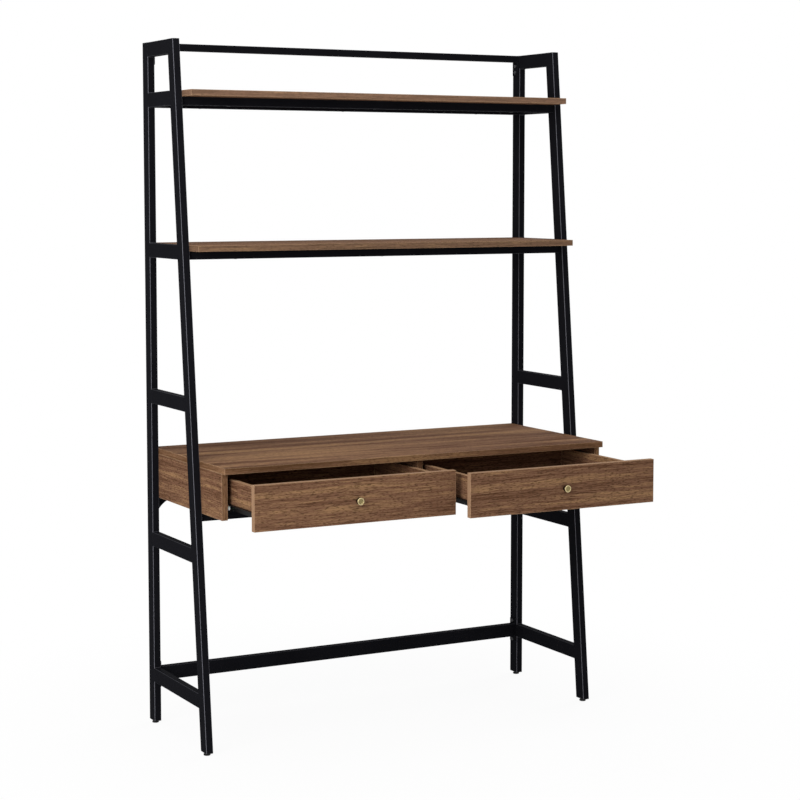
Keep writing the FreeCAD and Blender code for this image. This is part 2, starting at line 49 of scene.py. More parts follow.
SIDES = ("left", "right")
ENDS = ("rear", "front")
RUNGS = ("top", "upper_shelf", "lower_shelf", "middle", "desk", "bottom")
# The peel's lumps are about 1 mm wide on the real coat, and drawn coarser here so that they show.
PEEL_WIDTH = 2.5 * MM
PEEL_DEPTH = 0.2 * MM
COAT_CLOUD = 90 * MM


def linear(code):
    """A linear colour from an sRGB hex code."""
    shades = [int(code[i:i + 2], 16) / 255 for i in (1, 3, 5)]
    return [s / 12.92 if s <= 0.04045 else ((s + 0.055) / 1.055) ** 2.4 for s in shades] + [1.0]


def add_node(tree, kind, inputs=None, **settings):
    """Adds a node with its settings. An input takes a value, or a socket that is linked to it.

    A Mix node's input 0 is the share of the second. It blends numbers from inputs 2 and 3 to output 0,
    vectors from 4 and 5 to output 1, and colours from 6 and 7 to output 2.
    """
    node = tree.nodes.new(f"ShaderNode{kind}")
    for name, value in settings.items():
        setattr(node, name, value)
    for key, value in (inputs or {}).items():
        if isinstance(value, bpy.types.NodeSocket):
            tree.links.new(value, node.inputs[key])
        else:
            node.inputs[key].default_value = value
    return node


def new_material(name, values):
    """A material with one shader. values are the settings that are the same all over."""
    material = bpy.data.materials.new(name)
    material.use_nodes = True
    shader = material.node_tree.nodes["Principled BSDF"]
    for socket, value in values.items():
        shader.inputs[socket].default_value = value
    return material, material.node_tree, shader


def facing_shares(tree, normal):
    """How far a face is turned to each of the three axes, from 0 to 1."""
    size = add_node(tree, "VectorMath", {0: normal}, operation="ABSOLUTE")
    return add_node(tree, "SeparateXYZ", {0: size.outputs[0]}).outputs


def satin_black_powder_coat(name, painted_highlight_colour):
    """Baked powder on steel: nearly black and dry, with a faint orange peel and painted corner highlights.
    """
    material, tree, shader = new_material(name, {"Specular IOR Level": 0.003})
    spot = add_node(tree, "TexCoord")
    place = spot.outputs["Object"]
    peel = add_node(tree, "TexNoise", {"Vector": place, "Scale": 1 / PEEL_WIDTH, "Detail": 2.0})
    cloud = add_node(tree, "TexNoise", {"Vector": place, "Scale": 1 / COAT_CLOUD, "Detail": 3.0})
    # The flats lie nearly square to the axes, so the largest share drops only on the round corners.
    squarest, *others = facing_shares(tree, spot.outputs["Normal"])
    for other in others:
        squarest = add_node(tree, "Math", {0: squarest, 1: other}, operation="MAXIMUM").outputs[0]
    corner = add_node(tree, "MapRange", {
        "Value": squarest, "From Min": 0.97, "From Max": 0.85,
    }).outputs["Result"]
    dull = add_node(tree, "MapRange", {"Value": cloud.outputs["Fac"], "To Min": 0.5, "To Max": 0.64})
    gloss = add_node(tree, "Mix", {0: corner, 2: dull.outputs["Result"], 3: 0.34})
    coat = add_node(tree, "Mix", {
        0: cloud.outputs["Fac"], 6: linear("#111114"), 7: linear("#19191d"),
    }, data_type="RGBA")
    # The round corners are painted a lighter grey: a painted highlight where the lamps would catch them.
    highlighted = add_node(tree, "Mix", {
        0: corner, 6: coat.outputs[2], 7: linear(painted_highlight_colour),
    }, data_type="RGBA")
    bump = add_node(tree, "Bump", {"Height": peel.outputs["Fac"], "Strength": 0.12, "Distance": PEEL_DEPTH})
    tree.links.new(highlighted.outputs[2], shader.inputs["Base Color"])
    tree.links.new(gloss.outputs[0], shader.inputs["Roughness"])
    tree.links.new(bump.outputs["Normal"], shader.inputs["Normal"])
    return material


def dress(material, names):
    """Gives CAD nodes a finish."""
    for name in names:
        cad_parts[name].material_slots[0].material = material


# The upright corners catch the lamps along their whole length, and the level ones hardly do, so the
# uprights get a lighter painted corner highlight than the level tubes.
upright_coat = satin_black_powder_coat("satin_black_powder_coat_uprights", "#77777f")
level_coat = satin_black_powder_coat("satin_black_powder_coat_level_tubes", "#3c3c41")
for side in SIDES:
    dress(upright_coat, [f"{side}_{end}_post" for end in ENDS])
    dress(level_coat, [f"{side}_{rung}_rung" for rung in RUNGS])

# Welds of the side frames
# Each rung is welded all round to its posts. The seams on the flat sides are ground flush, so the
# tube's round corner is filled there, and a rippled bead stays above and below the rung.
TUBE_CORNER = 1.5 * MM
GRIND = 0.1 * MM
BEAD_RADIUS = 2.2 * MM
BEAD_WAIST_SHARE = 0.84
BEAD_RIPPLE = 2.6 * MM
BEAD_SIDES = 16
BEAD_RINGS = 29


def put(name, shape, materials, body):
    """Makes a piece of a finished bmesh, which moves with a body."""
    mesh = bpy.data.meshes.new(name)
    bmesh.ops.recalc_face_normals(shape, faces=shape.faces)
    shape.to_mesh(mesh)
    shape.free()
    for material in materials:
        mesh.materials.append(material)
    piece = bpy.data.objects.new(name, mesh)
    bpy.context.scene.collection.objects.link(piece)
    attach(piece, body)
    return piece


def prism(shape, outline, shift):
    """Adds an outline, the same outline moved by shift, and the walls between them."""
    rows = [[shape.verts.new(p + move) for p in outline] for move in (Vector(), shift)]
    shape.faces.new(rows[0])
    shape.faces.new(reversed(rows[1]))
    for i in range(len(outline)):
        j = (i + 1) % len(outline)
        shape.faces.new((rows[0][j], rows[0][i], rows[1][i], rows[1][j]))


def bridge(shape, rings):
    """Joins rings of points, each as long as the next, into one skin with closed ends."""
    rows = [[shape.verts.new(p) for p in ring] for ring in rings]
    for low, high in zip(rows, rows[1:]):
        for i in range(len(low)):
            j = (i + 1) % len(low)
            shape.faces.new((low[i], low[j], high[j], high[i])).smooth = True
    shape.faces.new(reversed(rows[0]))
    shape.faces.new(rows[-1])


def weld_bead(shape, start, end):
    """A round bead along X, rippled where the weld pool froze."""
    turns = [math.tau * i / BEAD_SIDES for i in range(BEAD_SIDES)]
    rings = []
    for step in range(BEAD_RINGS):
        middle = start.lerp(end, step / (BEAD_RINGS - 1))
        wave = abs(math.sin(math.pi * (middle.x - start.x) / BEAD_RIPPLE))
        radius = BEAD_RADIUS * (BEAD_WAIST_SHARE + (1 - BEAD_WAIST_SHARE) * wave)
        rings.append([middle + radius * Vector((0, math.cos(t), math.sin(t))) for t in turns])
    bridge(shape, rings)


for side in SIDES:
    post_low, post_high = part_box(f"{side}_front_post")
    welds = bmesh.new()
    for rung in RUNGS:
        low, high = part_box(f"{side}_{rung}_rung")
        tall = high.z - low.z
        rise = tall - 2 * TUBE_CORNER
        # The post is the same tube as the rung, so it is as deep as the rung is tall.
        lean = (post_high.y - post_low.y - tall) / (post_high.z - post_low.z)
        for end_y, slope, to_post in ((high.y, 0, 1), (low.y, lean, -1)):
            for face, inward in ((low.x, 1), (high.x, -1)):
                foot = Vector((face + inward * GRIND, end_y + slope * TUBE_CORNER, low.z + TUBE_CORNER))
                over_post = foot + Vector((0, to_post * TUBE_CORNER, 0))
                into_tube = foot + Vector((inward * TUBE_CORNER, 0, 0))
                prism(welds, [foot, over_post, into_tube], Vector((0, slope * rise, rise)))
            for height in (low.z, high.z):
                if height < post_high.z:
                    at_y = end_y + slope * (height - low.z)
                    start = Vector((low.x + TUBE_CORNER, at_y, height))
                    weld_bead(welds, start, Vector((high.x - TUBE_CORNER, at_y, height)))
    put(f"{side}_frame_welds", welds, [level_coat], "frame")

# Rails across the frames
# Seven tubes with the same coat. The top and bottom ones end on plates that bolt to the rear posts,
# and curved gussets on those posts carry the back of the drawer box.
RAILS = ("top_rear", "bottom_rear", "upper_shelf_front", "upper_shelf_rear", "lower_shelf_front",
         "lower_shelf_rear", "desk_front")
dress(level_coat, [f"{rail}_rail" for rail in RAILS])
dress(level_coat, ["rail_end_plates", "box_gussets"])

# Bolts of the end plates
# Two bolts of black passivated steel hold each plate to its post. They are button heads: low domes with
# a hexagonal socket for the key.
TURN_STEPS = 48
BOLT = {"radius": 5.2 * MM, "height": 3.2 * MM, "recess": 2.0 * MM}
# How far across each ring of the dome is, and how high, as shares of the head.
HEAD_DOME_SHARES = ((1.0, 0.4), (0.93, 0.7), (0.8, 0.9), (0.62, 1.0))
HEAD_SUNK = 0.2 * MM
RECESS_TAPER_SHARE = 0.9
HEX_KEY_HALF = 2.0 * MM
# The bolts' heights, measured up from the underside of the rail that the plate carries.
BOLT_RISES = {"top": (-11 * MM, -29 * MM), "bottom": (-8.5 * MM, 46.5 * MM)}
ZINC_BLOTCH = 2 * MM


def blotched_finish(name, values, blotch, gloss, dull, detail=3.0):
    """A finish that wanders between two roughnesses, in blotches of a width."""
    material, tree, shader = new_material(name, values)
    place = add_node(tree, "TexCoord").outputs["Object"]
    cloud = add_node(tree, "TexNoise", {"Vector": place, "Scale": 1 / blotch, "Detail": detail})
    rough = add_node(tree, "MapRange", {"Value": cloud.outputs["Fac"], "To Min": gloss, "To Max": dull})
    tree.links.new(rough.outputs["Result"], shader.inputs["Roughness"])
    return material


def turned(shape, profile, start, axis):
    """Turns a profile about an axis. Each point is a radius, or a function of the turn, and a distance."""
    to_axis = axis.to_track_quat("Z", "X").to_matrix()
    turns = [math.tau * i / TURN_STEPS for i in range(TURN_STEPS)]
    rings = []
    for reach, along in profile:
        radii = [reach(t) if callable(reach) else reach for t in turns]
        ring = [Vector((r * math.cos(t), r * math.sin(t), along)) for r, t in zip(radii, turns)]
        rings.append([start + to_axis @ point for point in ring])
    bridge(shape, rings)


def add_head(shape, spot, out, kind, recess):
    """A domed head that stands on a face, with its recess. out is the way that it faces."""
    radius, height = kind["radius"], kind["height"]
    profile = [(radius, -HEAD_SUNK)]
    profile += [(wide * radius, tall * height) for wide, tall in HEAD_DOME_SHARES]
    profile += [(recess, height), (lambda t: RECESS_TAPER_SHARE * recess(t), height - kind["recess"])]
    turned(shape, profile, spot, out)


def hexagon(turn):
    """How far a hexagonal socket's wall is from its middle."""
    sixth = math.tau / 6
    return HEX_KEY_HALF / math.cos(turn % sixth - sixth / 2)


# Black passivated zinc on steel: dark, with a soft metal shine that is slightly blotched.
black_zinc = blotched_finish(
    "black_passivated_zinc", {"Metallic": 0.7, "Base Color": linear("#2a2a2d")}, ZINC_BLOTCH, 0.32, 0.5,
)
bolts = bmesh.new()
for rail, rises in BOLT_RISES.items():
    low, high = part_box(f"{rail}_rear_rail")
    for face, out in ((low.x, 1), (high.x, -1)):
        for rise in rises:
            spot = Vector((face, (low.y + high.y) / 2, low.z + rise))
            add_head(bolts, spot, Vector((out, 0, 0)), BOLT, hexagon)
put("end_plate_bolts", bolts, [black_zinc], "frame")

# Screws of the rails and gussets
# Black screws go up through the rails and the gussets' tabs into the boards. Their heads are flat
# under the rails and domed under the gussets, all with a cross recess.
FLAT_SCREW = {"radius": 3.8 * MM, "height": 0.8 * MM, "recess": 0.7 * MM}
PAN_SCREW = {"radius": 3.6 * MM, "height": 2.2 * MM, "recess": 1.4 * MM}
CROSS_ARM = 2.1 * MM
CROSS_HALF = 0.55 * MM
RAIL_SCREW_SHARES = (0.12, 0.5, 0.88)
GUSSET_TAB = 3 * MM
# Measured in from the gusset's outer end and forward from its rear. The first screw of each goes
# into the side panel, and the second into the back.
GUSSET_SCREWS = ((8 * MM, 23.5 * MM), (42 * MM, 4.5 * MM))
DOWN = Vector((0, 0, -1))


def cross(turn):
    """How far a cross recess's wall is from its middle."""
    quarter = math.tau / 4
    off = (turn + quarter / 2) % quarter - quarter / 2
    along, aside = math.cos(off), abs(math.sin(off))
    return CROSS_ARM / along if CROSS_ARM * aside < CROSS_HALF * along else CROSS_HALF / aside


screws = bmesh.new()
for rail in RAILS[2:]:
    low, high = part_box(f"{rail}_rail")
    for share in RAIL_SCREW_SHARES:
        spot = Vector((low.x + share * (high.x - low.x), (low.y + high.y) / 2, low.z))
        add_head(screws, spot, DOWN, FLAT_SCREW, cross)
put("rail_screws", screws, [black_zinc], "frame")

low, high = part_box("box_gussets")
tab_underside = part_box("left_side_panel")[0].z - GUSSET_TAB
screws = bmesh.new()
for face, inward in ((low.x, 1), (high.x, -1)):
    for from_end, from_rear in GUSSET_SCREWS:
        spot = Vector((face + inward * from_end, high.y - from_rear, tab_underside))
        add_head(screws, spot, DOWN, PAN_SCREW, cross)
put("gusset_screws", screws, [black_zinc], "frame")

# Feet
# A moulded black plug closes the lower end of each post, and a cap its top. A round glide of the same
# plastic screws into the plug on a zinc-plated stud, to level the desk.
MOULD_GRAIN = 0.8 * MM
MOULD_GRAIN_DEPTH = 0.1 * MM
GLIDE_THICKNESS = 6.5 * MM
GLIDE_WALL = 0.7 * GLIDE_THICKNESS
GLIDE_FOOT_ROUND = 1.2 * MM
GLIDE_SHOULDER_ROUND = 1.6 * MM
GLIDE_SHOULDER_DEGREES = 75
# The underside is slightly hollow. The shares say where the hollow's floor and its slope end.
GLIDE_HOLLOW = 0.4 * MM
GLIDE_HOLLOW_SHARES = (0.55, 0.6)
COLLAR_RADIUS = 4.6 * MM
COLLAR_TOP_RADIUS = 4.2 * MM
COLLAR_EDGE = 0.3 * MM
STUD_RADIUS = 3 * MM
THREAD_PITCH = 1.0 * MM
THREAD_DEPTH = 0.5 * MM
# A turned piece is closed by a dot of this radius on its axis.
AXIS_DOT = 0.3 * MM
ARC_STEPS = 6
UP = Vector((0, 0, 1))


def black_moulded_plastic():
    """Polypropylene from a spark-eroded mould: matt, with a fine even grain."""
    material, tree, shader = new_material("black_moulded_polypropylene", {
        "Base Color": linear("#0f0f10"), "Specular IOR Level": 0.25,
    })
    place = add_node(tree, "TexCoord").outputs["Object"]
    grain = add_node(tree, "TexNoise", {"Vector": place, "Scale": 1 / MOULD_GRAIN, "Detail": 3.0})
    dull = add_node(tree, "MapRange", {"Value": grain.outputs["Fac"], "To Min": 0.45, "To Max": 0.7})
    bump = add_node(tree, "Bump", {
        "Height": grain.outputs["Fac"], "Strength": 0.2, "Distance": MOULD_GRAIN_DEPTH,
    })
    tree.links.new(dull.outputs["Result"], shader.inputs["Roughness"])
    tree.links.new(bump.outputs["Normal"], shader.inputs["Normal"])
    return material


def rounded(centre, radius, first, last):
    """Points of an arc in a profile, from one angle in degrees to another."""
    angles = [math.radians(first + (last - first) * i / ARC_STEPS) for i in range(ARC_STEPS + 1)]
    return [(centre[0] + radius * math.cos(a), centre[1] + radius * math.sin(a)) for a in angles]


plastic = black_moulded_plastic()
# Zinc-plated steel: a pale grey metal, slightly blotched.
bright_zinc = blotched_finish(
    "bright_zinc_plate", {"Base Color": linear("#b9bbbd"), "Metallic": 1.0}, ZINC_BLOTCH, 0.25, 0.45,
)
dress(plastic, ["post_plugs", "post_caps"])
for side in SIDES:
    for end in ENDS:
        name = f"{side}_{end}_glide"
        low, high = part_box(name)
        radius, length = (high.x - low.x) / 2, high.z - low.z
        hollow, rim = (share * radius for share in GLIDE_HOLLOW_SHARES)
        foot, shoulder = GLIDE_FOOT_ROUND, GLIDE_SHOULDER_ROUND
        profile = [(AXIS_DOT, GLIDE_HOLLOW), (hollow, GLIDE_HOLLOW), (rim, 0)]
        profile += rounded((radius - foot, foot), foot, -90, 0)
        profile += rounded((radius - shoulder, GLIDE_WALL - shoulder), shoulder, 0, GLIDE_SHOULDER_DEGREES)
        profile += [(COLLAR_RADIUS, GLIDE_THICKNESS - COLLAR_EDGE), (COLLAR_TOP_RADIUS, GLIDE_THICKNESS)]
        for step in range(int((length - GLIDE_THICKNESS) / THREAD_PITCH)):
            at = GLIDE_THICKNESS + step * THREAD_PITCH
            profile += [(STUD_RADIUS - THREAD_DEPTH, at), (STUD_RADIUS, at + THREAD_PITCH / 2)]
        profile += [(STUD_RADIUS - THREAD_DEPTH, length), (AXIS_DOT, length)]
        glide = bmesh.new()
        turned(glide, profile, Vector(((low.x + high.x) / 2, (low.y + high.y) / 2, low.z)), UP)
        for face in glide.faces:
            face.material_index = 1 if face.calc_center_median().z - low.z > GLIDE_THICKNESS else 0
        piece = put(f"{name}_turned", glide, [plastic, bright_zinc], name)
        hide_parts(name)

# Shelves
# Two boards of chipboard, faced with a paper that is printed as walnut. A band of the same print covers
# their edges and is trimmed flush. Screws through the rails hold them.
# The figure is the print's broad light and dark, and the streaks are the finer lines in it.
FIGURE_WIDTH = 24 * MM
FIGURE_LENGTH = 720 * MM
STREAK_WIDTH = 9 * MM
STREAK_LENGTH = 432 * MM
STREAK_WEIGHT = 0.8
# The print's fibres are under 1 mm wide, and drawn coarser here so that they show.
FIBRE_WIDTH = 2.6 * MM
FIBRE_LENGTH = 78 * MM
FIBRE_WEIGHT = 1.4
# Walnut's pores are about 0.2 mm wide, and drawn coarser here so that they show.
PORE_WIDTH = 1.6 * MM
PORE_LENGTH = 10.4 * MM
PORE_LIFT = 0.04
GRAIN_DEPTH = 0.15 * MM
GRAIN_WANDER = 12 * MM
GRAIN_WANDER_LENGTH = 320 * MM
# The band's trimmed corners are under 1 mm wide on the real board, and drawn wider here.
BAND_CORNER = 3 * MM
# How far a board's seed moves the print along each axis, so that no two boards are alike.
PRINT_SHIFT = (1.0, 2.3, 3.1)


def sharp_corner(tree, radius):
    """0 on flat faces, rising to 1 along the sharp corners within a radius."""
    rounded_off = add_node(tree, "Bevel", {"Radius": radius}, samples=6).outputs["Normal"]
    normal = add_node(tree, "NewGeometry").outputs["Normal"]
    turn = add_node(tree, "VectorMath", {0: rounded_off, 1: normal}, operation="DOT_PRODUCT")
    return add_node(tree, "MapRange", {
        "Value": turn.outputs["Value"], "From Min": 0.98, "From Max": 0.8,
    }).outputs["Result"]


def walnut_laminate(name, grain, face, seed, band="#80603f", band_share=0.25, bold=1.0, broad=FIGURE_WIDTH):
    """Melamine paper printed as walnut: straight streaks, fine fibres and short dark pores, dry and matt.

    grain is the axis that the streaks run along, and face the one that the broad faces look along.
    band_share is how much the band's colour covers the print. bold and broad are the figure's weight
    and width.
    """
    material, tree, shader = new_material(name, {"Specular IOR Level": 0.03})
    spot = add_node(tree, "TexCoord")
    facing = facing_shares(tree, spot.outputs["Normal"])
    # On the two ends that cross the grain, the band's own grain runs along the strip.
    length, depth = "XYZ".index(grain), "XYZ".index(face)
    strip = 3 - length - depth
    where = add_node(tree, "SeparateXYZ", {0: spot.outputs["Object"]})
    swapped = add_node(tree, "CombineXYZ", {
        length: where.outputs[strip], strip: where.outputs[length], depth: where.outputs[depth],
    })
    on_end = add_node(tree, "MapRange", {"Value": facing[length], "From Min": 0.6, "From Max": 0.8})
    laid = add_node(tree, "Mix", {
        0: on_end.outputs["Result"], 4: spot.outputs["Object"], 5: swapped.outputs[0],
    }, data_type="VECTOR")
    shifted = add_node(tree, "VectorMath", {
        0: laid.outputs[1], 1: [seed * step for step in PRINT_SHIFT],
    }, operation="ADD")
    wander = add_node(tree, "TexNoise", {
        "Vector": shifted.outputs[0], "Scale": 1 / GRAIN_WANDER_LENGTH, "Detail": 2.0,
    })
    bent = add_node(tree, "VectorMath", {
        0: wander.outputs["Color"], 1: [GRAIN_WANDER] * 3, 2: shifted.outputs[0],
    }, operation="MULTIPLY_ADD")

    def pattern(wide, long, detail, rough):
        """Noise with lumps of a width, drawn out along the grain to a length."""
        drawn_out = [1.0, 1.0, 1.0]
        drawn_out[length] = wide / long
        drawn = add_node(tree, "VectorMath", {0: bent.outputs[0], 1: drawn_out}, operation="MULTIPLY")
        return add_node(tree, "TexNoise", {
            "Vector": drawn.outputs[0], "Scale": 1 / wide, "Detail": detail, "Roughness": rough,
        }).outputs["Fac"]

    figure = pattern(broad, FIGURE_LENGTH, 3.0, 0.5)
    streak = pattern(STREAK_WIDTH, STREAK_LENGTH, 2.0, 0.55)
    fibre = pattern(FIBRE_WIDTH, FIBRE_LENGTH, 2.0, 0.6)
    pore = pattern(PORE_WIDTH, PORE_LENGTH, 1.0, 0.5)
    # Each pattern's mean is a half, so the sum is 0 at the middle tone, and the lift makes up for what
    # the pores darken.
    tone = PORE_LIFT - 0.5 * (bold + STREAK_WEIGHT + FIBRE_WEIGHT)
    for shade, weight in ((figure, bold), (streak, STREAK_WEIGHT), (fibre, FIBRE_WEIGHT)):
        tone = add_node(tree, "Math", {0: shade, 1: weight, 2: tone}, operation="MULTIPLY_ADD").outputs[0]
    low = add_node(tree, "MapRange", {
        "Value": tone, "From Min": -0.34, "From Max": 0.02,
    }, interpolation_type="SMOOTHSTEP")
    high = add_node(tree, "MapRange", {
        "Value": tone, "From Min": -0.02, "From Max": 0.38,
    }, interpolation_type="SMOOTHSTEP")
    hole = add_node(tree, "MapRange", {
        "Value": pore, "From Min": 0.5, "From Max": 0.67, "To Max": 0.68,
    }, interpolation_type="SMOOTHSTEP")
    dark = add_node(tree, "Mix", {
        0: low.outputs["Result"], 6: linear("#5a3d2a"), 7: linear("#785743"),
    }, data_type="RGBA")
    wood = add_node(tree, "Mix", {
        0: high.outputs["Result"], 6: dark.outputs[2], 7: linear("#977453"),
    }, data_type="RGBA")
    printed = add_node(tree, "Mix", {
        0: hole.outputs["Result"], 6: wood.outputs[2], 7: linear("#3d2a1b"),
    }, data_type="RGBA")
    # The band covers every face but the two broad ones, and its trimmed corners show as pale lines.
    edge = add_node(tree, "MapRange", {
        "Value": facing[depth], "From Min": 0.8, "From Max": 0.6, "To Max": band_share,
    })
    banded = add_node(tree, "Mix", {
        0: edge.outputs["Result"], 6: printed.outputs[2], 7: linear(band),
    }, data_type="RGBA")
    corner = add_node(tree, "Math", {0: sharp_corner(tree, BAND_CORNER), 1: 0.8}, operation="MULTIPLY")
    skin = add_node(tree, "Mix", {
        0: corner.outputs[0], 6: banded.outputs[2], 7: linear("#c4a381"),
    }, data_type="RGBA")
    dull = add_node(tree, "MapRange", {"Value": fibre, "To Min": 0.74, "To Max": 0.9})
    relief = add_node(tree, "Math", {0: fibre, 1: hole.outputs["Result"]}, operation="SUBTRACT")
    bump = add_node(tree, "Bump", {"Height": relief.outputs[0], "Strength": 0.2, "Distance": GRAIN_DEPTH})
    tree.links.new(skin.outputs[2], shader.inputs["Base Color"])
    tree.links.new(dull.outputs["Result"], shader.inputs["Roughness"])
    tree.links.new(bump.outputs["Normal"], shader.inputs["Normal"])
    return material


SHELF_BAND_SHARE = 0.3
# The upper shelf's band is painted lighter and the lower shelf's darker, as painted light and shade; both
# bands are the same print.
for shelf, seed, band in (("upper_shelf", 1.7, "#967c68"), ("lower_shelf", 2.7, "#6f604f")):
    dress(walnut_laminate(f"walnut_laminate_{shelf}", "X", "Z", seed, band, SHELF_BAND_SHARE), [shelf])

# Desktop
# The same board as the shelves, with its grain along the desk. Its print is bolder and has a broader
# figure. It lies on the drawer box.
DESKTOP_FIGURE_WEIGHT = 2.2
DESKTOP_FIGURE_WIDTH = 42 * MM
dress(walnut_laminate("walnut_laminate_desktop", "X", "Z", 4.2,
                      bold=DESKTOP_FIGURE_WEIGHT, broad=DESKTOP_FIGURE_WIDTH), ["desktop"])

# Drawer box
# Two side panels and a centre divider of the same board, fixed up under the desktop, and a thinner
# back between them. The front rail and the gussets carry it.
dress(walnut_laminate("walnut_laminate_panels", "Y", "X", 6.5),
      ["left_side_panel", "right_side_panel", "centre_divider"])
dress(walnut_laminate("walnut_laminate_back", "X", "Y", 7.3), ["box_back"])

# Runners
# Under each drawer side a member of thin pressed steel runs in a channel on the box, both dipped in
# black epoxy. A white moulded roller stands at the channel's front and another at the member's rear.
EPOXY_CLOUD = 12 * MM
NYLON_CLOUD = 3 * MM
# Black epoxy on pressed steel: smoother than the powder, with a low gloss.
black_epoxy = blotched_finish(
    "black_epoxy_on_pressed_steel", {"Base Color": linear("#0b0b0c"), "Specular IOR Level": 0.06},
    EPOXY_CLOUD, 0.3, 0.5,
)
# Moulded nylon: milky and slightly waxy.
white_nylon = blotched_finish(
    "white_moulded_nylon", {"Base Color": linear("#e6e4dc"), "Subsurface Weight": 0.1, "IOR": 1.53},
    NYLON_CLOUD, 0.35, 0.5, detail=2.0,
)
dress(black_epoxy, ["box_runner_channels"] + [f"{side}_drawer_runners" for side in SIDES])
dress(white_nylon, [f"{side}_{end}_rollers" for side in SIDES for end in ENDS])

# Rivets of the rollers
# Each roller turns on a stub axle of zinc-plated steel, whose end is spread into a low dome so that
# the roller can't slip off. The front axles end inwards, and the rear ones outwards.
ROLLER_WIDTH = 7 * MM
ROLLER_GAP = 0.4 * MM
RIVET_RADIUS = 3 * MM
RIVET_HEIGHT = 0.8 * MM
RIVET_DOME_ANGLES = (0, 0.3, 0.7, 1.1, 1.45)
rivet = [(RIVET_RADIUS * math.cos(a), RIVET_HEIGHT * math.sin(a)) for a in RIVET_DOME_ANGLES]
front_reach, rear_reach = ROLLER_WIDTH + ROLLER_GAP, -ROLLER_GAP
for side in SIDES:
    for end, body, reach in (("front", "frame", front_reach), ("rear", f"{side}_drawer", rear_reach)):
        low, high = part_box(f"{side}_{end}_rollers")
        rivets = bmesh.new()
        for face, inward in ((low.x, 1), (high.x, -1)):
            spot = Vector((face + inward * reach, (low.y + high.y) / 2, (low.z + high.z) / 2))
            turned(rivets, rivet, spot, Vector((math.copysign(1, inward * reach), 0, 0)))
        put(f"{side}_{end}_roller_rivets", rivets, [bright_zinc], body)

# Drawers
# Each has a laminated front that is screwed to two sides and a back of thinner board, with pale bands
# on their edges. A thin bottom, faced with the same paper, lies in a groove all round.
FRONT_BAND = {"band": "#9d7d62", "band_share": 0.85}
BOX_BAND = {"band": "#97775a", "band_share": 0.8}
for number, side in enumerate(SIDES):
    dress(walnut_laminate(f"walnut_laminate_{side}_front", "X", "Y", 9.1 + 1.7 * number, **FRONT_BAND),
          [f"{side}_drawer_front"])
    dress(walnut_laminate(f"walnut_laminate_{side}_drawer", "Y", "X", 12.7 + number, **BOX_BAND),
          [f"{side}_drawer_left_side", f"{side}_drawer_right_side"])
    dress(walnut_laminate(f"walnut_laminate_{side}_drawer_back", "X", "Y", 14.9 + number, **BOX_BAND),
          [f"{side}_drawer_back"])
    dress(walnut_laminate(f"walnut_paper_{side}_bottom", "X", "Z", 16.3 + number),
          [f"{side}_drawer_bottom"])

# Runner screws under the drawers
# Three black screws to a member, with the same domed heads as under the gussets. They go up through
# the member's flange into the drawer's side.
RUNNER_SCREW_SHARES = (0.1, 0.5, 0.9)
RUNNER_SCREW_INSET = 5.7 * MM
for side in SIDES:
    low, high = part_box(f"{side}_drawer_runners")
    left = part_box(f"{side}_drawer_left_side")[0].x + RUNNER_SCREW_INSET
    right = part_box(f"{side}_drawer_right_side")[1].x - RUNNER_SCREW_INSET
    screws = bmesh.new()
    for x in (left, right):
        for share in RUNNER_SCREW_SHARES:
            add_head(screws, Vector((x, low.y + share * (high.y - low.y), low.z)), DOWN, PAN_SCREW, cross)
    put(f"{side}_runner_screws", screws, [black_zinc], f"{side}_drawer")

# Knobs
# Small brass knobs turned from bar, one to a drawer. Each has a thick head that is sunk in the middle,
# on a short stem. A machine screw from inside the drawer holds it.
KNOB_HEAD = 9 * MM
KNOB_STEM = 5 * MM
KNOB_ROUND = 1.4 * MM
KNOB_LIP = 3.0 * MM
KNOB_DISH = 1.6 * MM
KNOB_SCREW = {"radius": 4.5 * MM, "height": 2.4 * MM, "recess": 1.6 * MM}
KNOB_SCREW_RADIUS = 2 * MM
PATINA_CLOUD = 4 * MM
# Faces within the lip that are no deeper than this belong to the sunk face.
KNOB_DISH_REACH = 1.01 * KNOB_DISH
TO_FRONT, TO_REAR = Vector((0, -1, 0)), Vector((0, 1, 0))


def antique_brass(name, face):
    """Darkened brass, pale where it faces forward; dark flanks are patina plus painted shade and
    reflection.
    """
    material, tree, shader = new_material(name, {"Metallic": 1.0})
    spot = add_node(tree, "TexCoord")
    cloud = add_node(tree, "TexNoise", {
        "Vector": spot.outputs["Object"], "Scale": 1 / PATINA_CLOUD, "Detail": 3.0,
    })
    part = add_node(tree, "SeparateXYZ", {0: spot.outputs["Normal"]})
    to_front = add_node(tree, "Math", {0: part.outputs[1], 1: -1.0}, operation="MULTIPLY")
    # Faces that look forward take the pale colour, and the flanks keep the dark one: patina with painted
    # shade and dark reflection.
    facing_front = add_node(tree, "MapRange", {
        "Value": to_front.outputs[0], "From Min": 0.25, "From Max": 0.85,
    }, interpolation_type="SMOOTHSTEP")
    patina_and_painted_shade = add_node(tree, "Mix", {
        0: cloud.outputs["Fac"], 6: linear("#2c2216"), 7: linear("#55452c"),
    }, data_type="RGBA")
    colour = add_node(tree, "Mix", {
        0: facing_front.outputs["Result"], 6: patina_and_painted_shade.outputs[2], 7: linear(face),
    }, data_type="RGBA")
    dull = add_node(tree, "MapRange", {"Value": cloud.outputs["Fac"], "To Min": 0.18, "To Max": 0.36})
    tree.links.new(colour.outputs[2], shader.inputs["Base Color"])
    tree.links.new(dull.outputs["Result"], shader.inputs["Roughness"])
    return material
